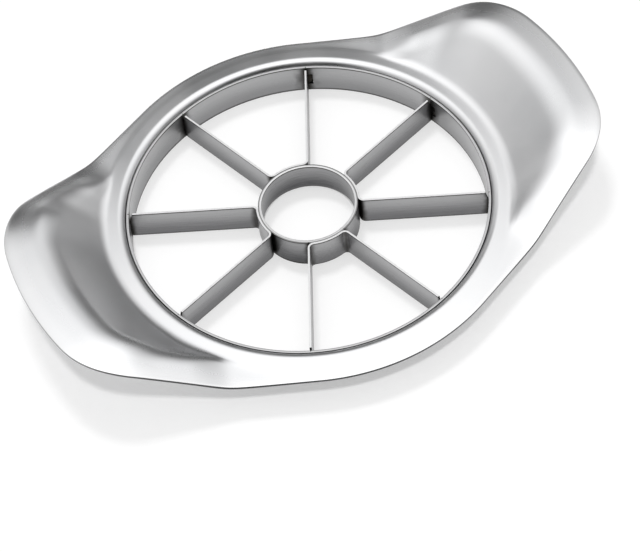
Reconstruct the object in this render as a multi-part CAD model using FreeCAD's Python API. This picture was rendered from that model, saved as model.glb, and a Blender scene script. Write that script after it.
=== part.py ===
import FreeCAD, Part
import math
import os

# Apple slicer and corer: a pressed sheet frame with two raised wing handles, a rolled band in its
# collar, a core ring in the middle and four V-shaped blade strips that give eight blades.
# Millimetres. +Z up, X along the handles, origin on the core axis at the level of the cutting edges.

os.makedirs("parts", exist_ok=True)
Vec = FreeCAD.Vector
UP = Vec(0, 0, 1)
ORIGIN = Vec(0, 0, 0)

# ---- Cutting ring -----------------------------------------------------------------------------
BLADE_COUNT = 8
BLADE_HEIGHT = 8.4          # height of every strip, cutting edge to top edge
BLADE_THICK = 0.5
BLADE_LEAD_DEG = 18.1       # first blade, measured from the handle axis
BAND_INNER_R = 44.25
BAND_THICK = 0.6
CORE_OUTER_R = 12.3
CORE_THICK = 0.8
CORE_BEVEL_HEIGHT = 1.7     # inside bevel that sharpens the core ring
EDGE_LAND = 0.14            # flat left at every ground cutting edge
BEVEL_HEIGHT = 0.7          # ground bevel on both sides of a blade
BEND_R = 1.3                # centre-line radius of the bend at a blade root
END_GAP = 0.05              # play between a blade end and the band
CLIP_LENGTH = 0.8           # clipped top outer corner of a blade, along the blade
CLIP_DEPTH = 2.4            # the same, downwards

# ---- Tabs, slots and welds --------------------------------------------------------------------
TAB_DROP = 2.7              # top of a tab below the band's top edge
TAB_HEIGHT = 3.4
TAB_REACH = 0.9             # how far a tab stands out of the band
SLOT_PLAY = 0.1             # play above, below and on the tight side of a tab
SLOT_OPEN = 1.35            # wide side of the slot, beside the tab
TAB_WELD_R = 0.8
TAB_WELD_HEIGHT = 2.4
COLLAR_WELD_R = 0.7
COLLAR_WELD_DEG = 8.0

# ---- Pressed frame ----------------------------------------------------------------------------
SHEET = 0.8
COLLAR_PLAY = 0.05          # play between the collar and the band
COLLAR_OVERLAP = 2.1        # lower edge of the collar below the band's top edge
LIP_ROLL_R = 1.9            # roll from the collar over into the lip
LIP_RUN = 2.0               # from the top of the roll to the foot of the lip
CREST_RUN = 2.3             # the crest line stays at least this far outside the lip's foot
CREST_BLEND = 1.2
RIM_WIDTH = 8.1             # from the collar to the outline beside the opening
WING_REACH = 21.1           # how far a wing tip stands out past that round part of the outline
SIDE_NORMAL_DEG = 65.5      # direction the straight sides of the wings face
CORNER_R = 20.6
TIP_R = 80.6
WING_RISE = 10.9            # how far the wing tips stand above the outline beside the opening
WING_LENGTH = 32.9          # from the crease where a wing starts to climb to its tip, along X
RISE_SLOPE = 0.45
RISE_SOFT = (2.4, 2.5)      # bend at the crease, along X, and bend into the level tip, upwards
FLANGE = (7.0, 10.0)        # outline to crest line, on the straight sides and at the tips
CREST_CORNER_R = 18.0       # corner of the crest line
FLANGE_SLOPE = 0.16         # fall of the flange towards the outline
CREST_EASE = 0.4            # share of the flange taken by the fold at the crest line
FLANGE_TURN = 8.0           # run beyond the crease over which the flange turns towards the outline
VALLEY_RUN = (0.8, 1.5)     # lip foot to valley, beside the opening and in a wing
RAMP_START = (0.4, 1.3)     # valley to the straight part of the ramp
RAMP_END = (0.4, 3.4)       # straight part of the ramp to the crest line
WING_RUN = 8.0              # lip foot to crest line where a pocket has its full form
SECTIONS = 96               # rays that carry a section of the sheet, all the way round
WING_CROWDING = 0.4         # how much closer together they stand at the wing tips
SPLINE_PASSES = 24
SEAM_GAP = 0.0005           # largest gap closed where the turned lip joins the skin


def polar(radius, degrees, z=0.0):
    angle = math.radians(degrees)
    return Vec(radius * math.cos(angle), radius * math.sin(angle), z)


def export(shape, node):
    shape.exportStep("parts/" + node + ".step")


def turned(shape, degrees):
    copy = shape.copy()
    copy.rotate(ORIGIN, UP, degrees)
    return copy


def smoothstep(value):
    t = min(max(value, 0.0), 1.0)
    return t * t * (3.0 - 2.0 * t)


def above_zero(value, soft):
    """The value where it is positive and nought where it is negative, with a soft bend between."""
    return (value + math.hypot(value, soft)) / 2.0


def mix(pair, weight):
    return pair[0] + (pair[1] - pair[0]) * weight


# ---- Radii and levels that follow from each other, from the band outwards ------------------------
band_outer_r = BAND_INNER_R + BAND_THICK
tab_r = band_outer_r + TAB_REACH
tab_high = BLADE_HEIGHT - TAB_DROP
tab_low = tab_high - TAB_HEIGHT
collar_r = band_outer_r + COLLAR_PLAY
collar_low = BLADE_HEIGHT - COLLAR_OVERLAP
lip_foot_r = collar_r + LIP_ROLL_R + LIP_RUN
crest_min_r = lip_foot_r + CREST_RUN
ring_r = collar_r + RIM_WIDTH
half_length = ring_r + WING_REACH
crease_x = half_length - WING_LENGTH

# ---- Outline and crest line: ring arc, straight side, corner arc and tip arc, tangent throughout --
side_normal = polar(1.0, SIDE_NORMAL_DEG)
side_along = polar(1.0, SIDE_NORMAL_DEG - 90.0)
tip_centre = Vec(half_length - TIP_R, 0, 0)


def degrees_of(point):
    return math.degrees(math.atan2(point.y, point.x))


class RoundedWing:
    """Closed line in plan; its tip arc is centred like the outline's."""

    def __init__(self, side, corner_r, tip_r):
        self.side = side
        self.corner_r = corner_r
        self.tip_r = tip_r
        offset = side_normal * (side - corner_r) - tip_centre
        reach = offset.dot(side_along)
        run = math.sqrt(reach ** 2 + (tip_r - corner_r) ** 2 - offset.dot(offset)) - reach
        self.centre = tip_centre + offset + side_along * run
        last = polar(corner_r, degrees_of(self.centre - tip_centre))
        self.corner_from = degrees_of(self.centre + side_normal * corner_r)
        self.corner_to = degrees_of(self.centre + last)

    def at(self, degrees):
        """Point on the ray at this angle in the first quadrant, and the direction the line faces."""
        ray = polar(1.0, degrees)
        if degrees >= SIDE_NORMAL_DEG:
            return ray * self.side, ray
        if degrees >= self.corner_from:
            return ray * (self.side / ray.dot(side_normal)), side_normal
        at_corner = degrees >= self.corner_to
        centre = self.centre if at_corner else tip_centre
        radius = self.corner_r if at_corner else self.tip_r
        along = ray.dot(centre)
        point = ray * (along + math.sqrt(along ** 2 - centre.dot(centre) + radius ** 2))
        return point, (point - centre) * (1.0 / radius)


outline = RoundedWing(ring_r, CORNER_R, TIP_R)
crest_line = RoundedWing(ring_r - FLANGE[0], CREST_CORNER_R, TIP_R - FLANGE[1])
corner_leads = []
for end_deg, width in zip((crest_line.corner_from, crest_line.corner_to), FLANGE):
    end, facing = crest_line.at(end_deg)
    corner_leads.append(degrees_of(end + facing * width) - end_deg)


def crest_and_edge(degrees):
    """Crest point on the ray at this angle in the first quadrant, and the outline point beyond it."""
    crest, facing = crest_line.at(degrees)
    along_corner = (crest_line.corner_from - degrees) / (crest_line.corner_from - crest_line.corner_to)
    if 0.0 < along_corner < 1.0:
        edge, _ = outline.at(degrees + mix(corner_leads, smoothstep(along_corner)))
    else:
        edge = crest + facing * FLANGE[0 if along_corner <= 0.0 else 1]
    pushed = crest.Length + above_zero(crest_min_r - crest.Length, CREST_BLEND)
    return polar(pushed, degrees), edge


def flange_z(radius):
    """Level of the plain flange beside the opening. Its outline is level with the band's top edge."""
    return BLADE_HEIGHT + FLANGE_SLOPE * (ring_r - radius)


def wing_section(degrees):
    """Upper side of the sheet on one ray, from the lip's foot to the outline, as plan directions and points.

    Foot, valley corner, ramp start, ramp end, crest corner, flange start, outline.
    """
    fold = (degrees + 180.0) % 360.0 - 180.0
    quarter = min(abs(fold), 180.0 - abs(fold))
    crest, edge = crest_and_edge(quarter)
    climb = RISE_SLOPE * above_zero(edge.x - crease_x, RISE_SOFT[0])
    edge_z = BLADE_HEIGHT + WING_RISE - above_zero(WING_RISE - climb, RISE_SOFT[1])
    facing_ring_z = flange_z(crest.Length) + edge_z - BLADE_HEIGHT
    facing_edge_z = edge_z + FLANGE_SLOPE * (edge - crest).Length
    turn = smoothstep((edge.x - crease_x) / FLANGE_TURN)
    crest_z = mix((facing_ring_z, facing_edge_z), turn)
    wing = smoothstep((crest.Length - crest_min_r) / (lip_foot_r + WING_RUN - crest_min_r))
    valley_r = lip_foot_r + mix(VALLEY_RUN, wing)
    start_r = valley_r + mix(RAMP_START, wing)
    end_r = crest.Length - mix(RAMP_END, wing)
    slope = (crest_z - flange_z(valley_r)) / (crest.Length - valley_r)

    def ramp_z(radius):
        return flange_z(valley_r) + slope * (radius - valley_r)

    ray = polar(1.0, quarter)
    outwards = (edge - crest).normalize()
    ease = CREST_EASE * (edge - crest).Length
    points = [
        (ray, ray * lip_foot_r + UP * flange_z(lip_foot_r)),
        (ray, ray * valley_r + UP * flange_z(valley_r)),
        (ray, ray * start_r + UP * ramp_z(start_r)),
        (ray, ray * end_r + UP * ramp_z(end_r)),
        (ray, crest + UP * crest_z),
        (outwards, crest + outwards * ease + UP * mix((crest_z, edge_z), CREST_EASE)),
        (outwards, edge + UP * edge_z),
    ]
    flip_x = -1.0 if abs(fold) > 90.0 else 1.0
    flip_y = -1.0 if fold < 0.0 else 1.0
    return [(Vec(d.x * flip_x, d.y * flip_y, 0), Vec(p.x * flip_x, p.y * flip_y, p.z)) for d, p in points]


def lower_side(section):
    """The same section one sheet thickness further down, mitred at its corners."""
    normals = []
    for (_, a), (_, b) in zip(section, section[1:]):
        run = math.hypot(b.x - a.x, b.y - a.y)
        size = math.hypot(run, b.z - a.z)
        normals.append(((b.z - a.z) / size, -run / size))
    lowered = []
    for i, (direction, point) in enumerate(section):
        before = normals[max(i - 1, 0)]
        after = normals[min(i, len(normals) - 1)]
        out = before[0] + after[0]
        down = before[1] + after[1]
        scale = SHEET * 2.0 / (out ** 2 + down ** 2)
        lowered.append(point + direction * (out * scale) + UP * (down * scale))
    return lowered


def closed_poles(points):
    """Control points of the closed cubic spline that passes through these points."""
    poles = points
    for _ in range(SPLINE_PASSES):
        following = poles[1:] + poles[:1]
        reached = [(poles[i - 1] + poles[i] * 4.0 + following[i]) * (1.0 / 6.0) for i in range(len(poles))]
        poles = [pole + point - at for pole, point, at in zip(poles, points, reached)]
    return poles


def quarter_faces(rails):
    """Faces over closed rails, as four quarters that meet on the planes of symmetry.

    Two rails are joined by straight lines. Three or four are the control points of a fold.
    """
    degree = len(rails) - 1
    around = len(rails[0])
    surface = Part.BSplineSurface()
    surface.buildFromPolesMultsKnots(
        [closed_poles(rail[-1:] + rail[:-1]) for rail in rails],
        [degree + 1, degree + 1], [1] * (around + 1),
        [0.0, 1.0], [float(k) for k in range(around + 1)],
        False, True, degree, 3)
    faces = []
    for k in range(4):
        part = surface.copy()
        part.segment(0.0, 1.0, k * around / 4.0, (k + 1) * around / 4.0)
        faces.append(part.toShape())
    return faces


def make_skin():
    """Sheet from the lip's foot outwards: valley fold, ramp, crest fold and flange, each over its rails."""
    turns = [360.0 * k / SECTIONS for k in range(SECTIONS)]
    spread = math.degrees(WING_CROWDING) / 2.0
    sections = [wing_section(t - spread * math.sin(math.radians(2.0 * t))) for t in turns]
    upper = [list(rail) for rail in zip(*[[point for _, point in section] for section in sections])]
    lower = [list(rail) for rail in zip(*[lower_side(section) for section in sections])]
    faces = []
    for foot, valley, ramp_start, ramp_end, crest, flange_start, edge in (upper, lower):
        faces += quarter_faces([foot, valley, ramp_start])
        faces += quarter_faces([ramp_start, ramp_end])
        faces += quarter_faces([ramp_end, crest, flange_start])
        faces += quarter_faces([flange_start, edge])
    for above, below in ((upper[0], lower[0]), (upper[-1], lower[-1])):
        faces += quarter_faces([above, below])
    shell = Part.makeShell(faces)
    shell.sewShape()
    solid = Part.Solid(shell)
    if solid.Volume < 0:
        solid.reverse()
    return solid


def make_lip():
    """Collar, rolled lip and the start of the flange, turned about the core axis."""
    flange_normal = Vec(FLANGE_SLOPE, 0, 1)
    centre_r = collar_r + LIP_ROLL_R
    centre = Vec(centre_r, 0, flange_z(centre_r) - LIP_ROLL_R * flange_normal.Length)
    flange_normal.normalize()
    roll_middle = (flange_normal - Vec(1, 0, 0)).normalize()
    foot = Vec(lip_foot_r, 0, flange_z(lip_foot_r))
    edges = []
    ends = []
    for depth in (0.0, SHEET):
        radius = LIP_ROLL_R - depth
        low = Vec(collar_r + depth, 0, collar_low)
        roll_start = centre - Vec(radius, 0, 0)
        roll_end = centre + flange_normal * radius
        last = foot - flange_normal * depth
        edges.append(Part.LineSegment(low, roll_start).toShape())
        edges.append(Part.Arc(roll_start, centre + roll_middle * radius, roll_end).toShape())
        edges.append(Part.LineSegment(roll_end, last).toShape())
        ends.append((low, last))
    for one, other in zip(*ends):
        edges.append(Part.LineSegment(one, other).toShape())
    profile = Part.Face(Part.Wire(Part.sortEdges(edges)[0]))
    return profile.revolve(ORIGIN, UP, 360)


def make_frame():
    """The pressed frame is one sheet: the turned lip runs on into the skin."""
    return make_lip().fuse([make_skin()], SEAM_GAP).Solids[0]


def ring_solid(profile):
    """Revolve a closed (radius, height) profile about the core axis."""
    corners = [Vec(radius, 0, z) for radius, z in profile]
    face = Part.Face(Part.makePolygon(corners + corners[:1]))
    return face.revolve(ORIGIN, UP, 360)


def block(low, high):
    return Part.makeBox(high.x - low.x, high.y - low.y, high.z - low.z, low)


blade_end_r = BAND_INNER_R - END_GAP
pitch_deg = 360.0 / BLADE_COUNT


def make_band():
    ring = ring_solid([
        (BAND_INNER_R, 0),
        (band_outer_r, 0),
        (band_outer_r, BLADE_HEIGHT),
        (BAND_INNER_R, BLADE_HEIGHT),
    ])
    half = BLADE_THICK / 2.0
    slot = block(
        Vec(BAND_INNER_R - BAND_THICK, -half - SLOT_OPEN, tab_low - SLOT_PLAY),
        Vec(tab_r, half + SLOT_PLAY, tab_high + SLOT_PLAY))
    for k in range(BLADE_COUNT):
        ring = ring.cut(turned(slot, BLADE_LEAD_DEG + k * pitch_deg))
    return ring


def make_core_ring():
    inner = CORE_OUTER_R - CORE_THICK
    return ring_solid([
        (inner, CORE_BEVEL_HEIGHT),
        (CORE_OUTER_R - EDGE_LAND, 0),
        (CORE_OUTER_R, 0),
        (CORE_OUTER_R, BLADE_HEIGHT),
        (inner, BLADE_HEIGHT),
    ])


def strip_path():
    """Centre line of a V strip: in along one blade, round the core ring, out along the next."""
    foot_r = CORE_OUTER_R + BLADE_THICK / 2.0
    bend_centre_r = foot_r + BEND_R
    root_r = math.sqrt(bend_centre_r ** 2 - BEND_R ** 2)
    lead = math.degrees(math.asin(BEND_R / bend_centre_r))
    bend_centre = Vec(root_r, BEND_R, 0)
    root = Vec(root_r, 0, 0)
    landing = polar(foot_r, lead)
    chord_mid = (root + landing) * 0.5
    bend_mid = bend_centre + (chord_mid - bend_centre).normalize() * BEND_R
    first = [polar(tab_r, 0), root, bend_mid, landing]

    def mirrored(point):
        angle = math.degrees(math.atan2(point.y, point.x))
        return polar(point.Length, pitch_deg - angle)

    second = [mirrored(point) for point in first]
    return Part.Wire([
        Part.LineSegment(first[0], first[1]).toShape(),
        Part.Arc(first[1], first[2], first[3]).toShape(),
        Part.Arc(first[3], polar(foot_r, pitch_deg / 2.0), second[3]).toShape(),
        Part.Arc(second[3], second[2], second[1]).toShape(),
        Part.LineSegment(second[1], second[0]).toShape(),
    ])


def make_strip():
    half = BLADE_THICK / 2.0
    land = EDGE_LAND / 2.0
    outline = [
        Vec(tab_r, -land, 0),
        Vec(tab_r, land, 0),
        Vec(tab_r, half, BEVEL_HEIGHT),
        Vec(tab_r, half, BLADE_HEIGHT),
        Vec(tab_r, -half, BLADE_HEIGHT),
        Vec(tab_r, -half, BEVEL_HEIGHT),
    ]
    sweep = Part.BRepOffsetAPI.MakePipeShell(strip_path())
    sweep.setBiNormalMode(UP)
    sweep.add(Part.makePolygon(outline + outline[:1]))
    sweep.build()
    sweep.makeSolid()
    strip = sweep.shape()
    wide = BLADE_THICK * 2.0
    under_tab = block(Vec(blade_end_r, -wide, -wide), Vec(tab_r + wide, wide, tab_low))
    over_tab = block(Vec(blade_end_r, -wide, tab_high), Vec(tab_r + wide, wide, BLADE_HEIGHT + wide))
    clip_corners = [
        Vec(blade_end_r - CLIP_LENGTH, -wide, BLADE_HEIGHT),
        Vec(blade_end_r - CLIP_LENGTH, -wide, BLADE_HEIGHT + wide),
        Vec(blade_end_r + wide, -wide, BLADE_HEIGHT + wide),
        Vec(blade_end_r + wide, -wide, BLADE_HEIGHT - CLIP_DEPTH),
        Vec(blade_end_r, -wide, BLADE_HEIGHT - CLIP_DEPTH),
    ]
    clip = Part.Face(Part.makePolygon(clip_corners + clip_corners[:1])).extrude(Vec(0, 2 * wide, 0))
    for cutter in (under_tab, over_tab, clip):
        for blade_deg in (0.0, pitch_deg):
            strip = strip.cut(turned(cutter, blade_deg))
    return strip


def make_tab_weld():
    """Tack weld in the corner between a tab and the outer face of the band."""
    half = BLADE_THICK / 2.0
    foot_z = (tab_low + tab_high - TAB_WELD_HEIGHT) / 2.0
    bead = Part.makeCylinder(TAB_WELD_R, TAB_WELD_HEIGHT, Vec(band_outer_r, half, foot_z), UP)
    keep = block(
        Vec(BAND_INNER_R, half, 0),
        Vec(band_outer_r + 2 * TAB_WELD_R, half + 2 * TAB_WELD_R, BLADE_HEIGHT))
    inside = Part.makeCylinder(band_outer_r, BLADE_HEIGHT, ORIGIN, UP)
    return bead.common(keep).cut(inside)


def make_collar_weld():
    """Short bead under the collar, against the outer face of the band."""
    corner = Vec(band_outer_r, 0, collar_low)
    tip = corner + Vec(COLLAR_WELD_R, 0, 0)
    low = corner - Vec(0, 0, COLLAR_WELD_R)
    bulge = corner + Vec(1, 0, -1).normalize() * COLLAR_WELD_R
    profile = Part.Wire([
        Part.LineSegment(corner, tip).toShape(),
        Part.Arc(tip, bulge, low).toShape(),
        Part.LineSegment(low, corner).toShape(),
    ])
    bead = Part.Face(profile).revolve(ORIGIN, UP, COLLAR_WELD_DEG)
    return turned(bead, -COLLAR_WELD_DEG / 2.0)


export(make_frame(), "frame")
export(make_band(), "band")
export(make_core_ring(), "core_ring")

strip = make_strip()
for k in range(BLADE_COUNT // 2):
    export(turned(strip, BLADE_LEAD_DEG + (2 * k - 1) * pitch_deg), "blade_strip_" + str(k + 1))

tab_weld = make_tab_weld()
collar_weld = make_collar_weld()
blade_angles = [BLADE_LEAD_DEG + k * pitch_deg for k in range(BLADE_COUNT)]
export(Part.makeCompound([turned(tab_weld, a) for a in blade_angles]), "tab_welds")
export(Part.makeCompound([turned(collar_weld, a + pitch_deg / 2.0) for a in blade_angles]), "collar_welds")
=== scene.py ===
# %% [markdown]
# # An apple slicer with its finish and its light
#
# The tool is pushed down over an apple. A round band carries eight blades and a core ring, and a
# pressed sheet frame with two raised wings gives the hands something to push on. The solids are
# already right in size and place, so this script only gives them a fine surface, a finish and light.
# Everything is in metres, X along the wings, Z up, with the cutting edges at Z = 0. A name that
# ends in mm holds millimetres.

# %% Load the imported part
import math

import bmesh
import bpy
import numpy as np
from mathutils import Matrix, Vector


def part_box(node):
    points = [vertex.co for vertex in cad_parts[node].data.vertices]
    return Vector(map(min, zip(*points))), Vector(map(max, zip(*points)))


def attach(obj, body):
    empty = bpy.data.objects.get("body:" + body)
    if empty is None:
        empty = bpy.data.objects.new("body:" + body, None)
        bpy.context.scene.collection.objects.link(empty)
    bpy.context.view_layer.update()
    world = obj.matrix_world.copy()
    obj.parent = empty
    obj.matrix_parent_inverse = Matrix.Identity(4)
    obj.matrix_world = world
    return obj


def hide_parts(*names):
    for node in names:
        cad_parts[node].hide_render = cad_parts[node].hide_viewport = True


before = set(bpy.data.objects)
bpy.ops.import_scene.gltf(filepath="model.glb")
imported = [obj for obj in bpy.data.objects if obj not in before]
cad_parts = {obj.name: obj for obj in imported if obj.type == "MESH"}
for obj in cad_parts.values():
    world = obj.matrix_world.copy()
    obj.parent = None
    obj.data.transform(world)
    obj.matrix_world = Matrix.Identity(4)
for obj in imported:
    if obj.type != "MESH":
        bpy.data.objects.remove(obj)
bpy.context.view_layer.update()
MM = 0.001
print("nodes:", ", ".join(sorted(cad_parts)))

# %% Sizes that the finishes and the forms share
BLADE_COUNT = 8
BLADE_LEAD = math.radians(18.1)
BLADE_THICK_MM = 0.5
BAND_THICK_MM = 0.6
band_outer_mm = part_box("band")[1].x / MM
band_top_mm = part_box("band")[1].z / MM
core_outer_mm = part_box("core_ring")[1].x / MM
band_inner_mm = band_outer_mm - BAND_THICK_MM
print(f"band: {2 * band_outer_mm:.1f} mm across and {band_top_mm:.1f} mm high")
print(f"core ring: {2 * core_outer_mm:.1f} mm across")

# %% [markdown]
# ## A short way to write node trees
#
# Shader trees and geometry trees are built the same way: make a node, set some of its inputs, and
# link others to sockets of earlier nodes. Written out in full, that is three lines for every wire.
# A small class keeps each node on one line, so that a material reads like a recipe.

# %% Node tree helper
NODE_COLUMNS = 10
NODE_SPACING = (200, -260)


class Tree:
    """Adds nodes to a node tree; an input is given a value or the socket that feeds it."""

    def __init__(self, tree):
        self.tree = tree
        self.made = 0

    def add(self, kind, inputs=None, **settings):
        node = self.tree.nodes.new(kind)
        row, column = divmod(self.made, NODE_COLUMNS)
        node.location = (NODE_SPACING[0] * column, NODE_SPACING[1] * row)
        self.made += 1
        for name, value in settings.items():
            setattr(node, name, value)
        for key, value in (inputs or {}).items():
            if isinstance(value, bpy.types.NodeSocket):
                self.tree.links.new(value, node.inputs[key])
            else:
                node.inputs[key].default_value = value
        return node

    def math(self, operation, *values):
        node = self.add("ShaderNodeMath", dict(enumerate(values)), operation=operation)
        return node.outputs[0]

    def spread(self, value, low, high, to_low, to_high):
        """Value between low and high, spread smoothly over to_low and to_high."""
        names = ("Value", "From Min", "From Max", "To Min", "To Max")
        inputs = dict(zip(names, (value, low, high, to_low, to_high)))
        return self.add("ShaderNodeMapRange", inputs, interpolation_type="SMOOTHSTEP").outputs[0]


# %% [markdown]
# ## The steel finishes
#
# All the pieces are steel, yet no two look alike. The pressed frame was tumbled after pressing and
# is satin all over. The band and the blades are cut from rolled strip and keep fine lines along
# the strip. The core ring was turned. The welds are rough beads, grey outside and painted black
# inside the slots as shade.
#
# An image of scratches would need a UV map and would stretch. Here the grain is noise that is
# squeezed across the strip, read in millimetres on the piece itself, so it has its real scale. Each
# finish changes roughness and height, because on bare metal the eye reads those before colour.

# %% Shared parts of every finish
# Nearly all values of a noise texture lie between these two.
NOISE_MIDDLE = (0.3, 0.7)


def start_material(name):
    material = bpy.data.materials.new(name)
    material.use_nodes = True
    material.node_tree.nodes.clear()
    return material, Tree(material.node_tree)


def place_in_mm(tree):
    """Place on the piece in millimetres, as a vector and as three numbers."""
    coordinates = tree.add("ShaderNodeTexCoord").outputs["Object"]
    scaled = tree.add("ShaderNodeVectorMath", {0: coordinates, "Scale": 1.0 / MM}, operation="SCALE")
    parts = tree.add("ShaderNodeSeparateXYZ", {0: scaled.outputs[0]})
    return scaled.outputs[0], parts.outputs


def noise(tree, vector, scale, detail=3.0, roughness=0.5):
    inputs = {"Vector": vector, "Scale": scale, "Detail": detail, "Roughness": roughness}
    return tree.add("ShaderNodeTexNoise", inputs).outputs[0]


def tone(tree, value, low, high):
    """Colour between two steel tones."""
    mix = tree.add("ShaderNodeMix", {"Factor": value, "A": low, "B": high}, data_type="RGBA")
    return mix.outputs["Result"]


def finish_steel(tree, colour, roughness, height, bump_mm):
    """Principled metal with a bump, wired to the material output."""
    inputs = {"Height": height, "Strength": 1.0, "Distance": bump_mm * MM}
    normal = tree.add("ShaderNodeBump", inputs).outputs[0]
    shader = tree.add("ShaderNodeBsdfPrincipled", {
        "Base Color": colour, "Metallic": 1.0, "Roughness": roughness, "Normal": normal})
    tree.add("ShaderNodeOutputMaterial", {0: shader.outputs[0]})


# %% [markdown]
# ### Satin of the pressed frame
#
# Tumbling leaves an even satin with a faint cloudiness that is only seen when the sheet is turned.
# Wide noise clouds the roughness and fine noise gives the grain. The rim is rubbed brighter by
# hands. Its cut edge is painted nearly black, as painted shade on the edge. Two attributes
# on the mesh, "rim" and "cut", say where that is, so the finish follows the sheet's own rows.

# %% Satin of the pressed frame
CLOUD_PER_MM = 0.06
SATIN_GRAIN_PER_MM = 2.6
SATIN_ROUGHNESS = (0.25, 0.31)
GRAIN_ROUGHNESS = 0.06
RUB_ROUGHNESS = -0.08
RUB_LIGHT = 0.35
CLOUD_MIDDLE = (0.35, 0.7)
CLOUD_LIGHT = (0.0, 0.65)
SATIN_TONES = ((0.76, 0.765, 0.775, 1), (0.83, 0.83, 0.835, 1))
# Painted shade: the colour of the sheet's cut edge, nearly black.
CUT_EDGE_SHADE = (0.05, 0.05, 0.051, 1)


def make_frame_steel():
    material, tree = start_material("pressed_satin_steel")
    place = place_in_mm(tree)[0]
    cloud = noise(tree, place, CLOUD_PER_MM)
    grain = noise(tree, place, SATIN_GRAIN_PER_MM, detail=5.0, roughness=0.65)
    rub = tree.add("ShaderNodeAttribute", attribute_name="rim").outputs["Fac"]
    dull = tree.spread(cloud, *NOISE_MIDDLE, *SATIN_ROUGHNESS)
    fine = tree.math("MULTIPLY_ADD", grain, GRAIN_ROUGHNESS, dull)
    roughness = tree.math("MULTIPLY_ADD", rub, RUB_ROUGHNESS, fine)
    light = tree.math("MULTIPLY_ADD", rub, RUB_LIGHT, tree.spread(cloud, *CLOUD_MIDDLE, *CLOUD_LIGHT))
    face = tone(tree, light, *SATIN_TONES)
    # The cut edge is painted dark as shade.
    cut = tree.add("ShaderNodeAttribute", attribute_name="cut").outputs["Fac"]
    finish_steel(tree, tone(tree, cut, face, CUT_EDGE_SHADE), roughness, grain, bump_mm=0.004)
    return material


frame_steel = make_frame_steel()
print(f"{frame_steel.name}: {len(frame_steel.node_tree.nodes)} nodes")

# %% [markdown]
# ### Strip steel of the band, the blades and the core ring
#
# Rolled strip has fine lines along its length. Its colour also carries painted shade: the strip is
# painted darker towards its bottom, with a dark line along the ground edge and another just under
# its top edge, and a wider darkening round each joint, where a thin dark seam holds the stain of heat
# and juice. The top edge is a thin light line of polish and painted highlight. All of that hangs on
# two things that can be worked out at any point of the strip: its height, and how far it is to the
# nearest joint. So one recipe makes three finishes, and no mask has to be painted.

# %% Lines along the strip
RING_GRAIN_PER_RADIAN = 3.0
BLADE_GRAIN_PER_MM = 0.12
BLADE_GRAIN_PER_RADIAN = 20.0


def radius_of(tree, parts):
    square = tree.math("MULTIPLY", parts[0], parts[0])
    return tree.math("SQRT", tree.math("MULTIPLY_ADD", parts[1], parts[1], square))


def strip_grain(tree, parts, along_a_ring, across_per_mm):
    """Noise that is long along the strip and very fine across its height."""
    radius = radius_of(tree, parts)
    angle = tree.math("ARCTAN2", parts[1], parts[0])
    if along_a_ring:
        along = tree.math("MULTIPLY", angle, RING_GRAIN_PER_RADIAN)
        other = radius
    else:
        along = tree.math("MULTIPLY", radius, BLADE_GRAIN_PER_MM)
        other = tree.math("MULTIPLY", angle, BLADE_GRAIN_PER_RADIAN)
    height = tree.math("MULTIPLY", parts[2], across_per_mm)
    vector = tree.add("ShaderNodeCombineXYZ", {0: along, 1: other, 2: height}).outputs[0]
    return noise(tree, vector, 1.0, detail=4.0, roughness=0.62)


# %% Distance to the joints
def joint_distance(tree, parts, along_a_ring):
    """Millimetres to the nearest joint: along a ring or a blade's foot, or along a blade itself."""
    radius = radius_of(tree, parts)
    angle = tree.math("SUBTRACT", tree.math("ARCTAN2", parts[1], parts[0]), BLADE_LEAD)
    sideways = tree.math("MULTIPLY", radius, tree.math("PINGPONG", angle, math.pi / BLADE_COUNT))
    if along_a_ring:
        return sideways
    to_band = tree.math("SUBTRACT", band_inner_mm, radius)
    past_foot = tree.math("SUBTRACT", radius, core_outer_mm + BLADE_THICK_MM)
    return tree.math("MINIMUM", to_band, tree.math("MAXIMUM", past_foot, sideways))


# %% Recipe of strip steel
STRIP_LINES = 0.2
STRIP_ROUGHNESS = (0.24, 0.36)
LINE_RANGE = (0.3, 0.72)
SMEAR_PER_MM = 0.25
SMEAR_ROUGHNESS = 0.06
MARK_ROUGHNESS = 0.12
# Painted shade: a dark line along the ground edge and another just under the top edge.
GROUND_HEIGHT_MM = 0.7
GROUND_SHADE = 0.7
UNDER_EDGE_MM = (0.55, 0.2)
UNDER_EDGE_SHADE = 0.9
TOP_EDGE_MM = (0.1, 0.02)
SEAM_MM = (0.05, 0.16)
# This dark colour serves the seams at the joints and all the painted shade of the strip.
STAIN_AND_SHADE = (0.035, 0.033, 0.03, 1)


def below_top(tree, parts, depths_mm, shade):
    """Nought below the first depth under the top edge, and the full shade above the second."""
    return tree.spread(parts[2], *(band_top_mm - depth for depth in depths_mm), 0.0, shade)


def edge_shade(tree, parts):
    """Painted shade: how dark the strip is painted at its ground edge and just under its top edge."""
    ground = tree.spread(parts[2], GROUND_HEIGHT_MM / 2, GROUND_HEIGHT_MM, GROUND_SHADE, 0.0)
    return tree.math("MAXIMUM", ground, below_top(tree, parts, UNDER_EDGE_MM, UNDER_EDGE_SHADE))


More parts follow.
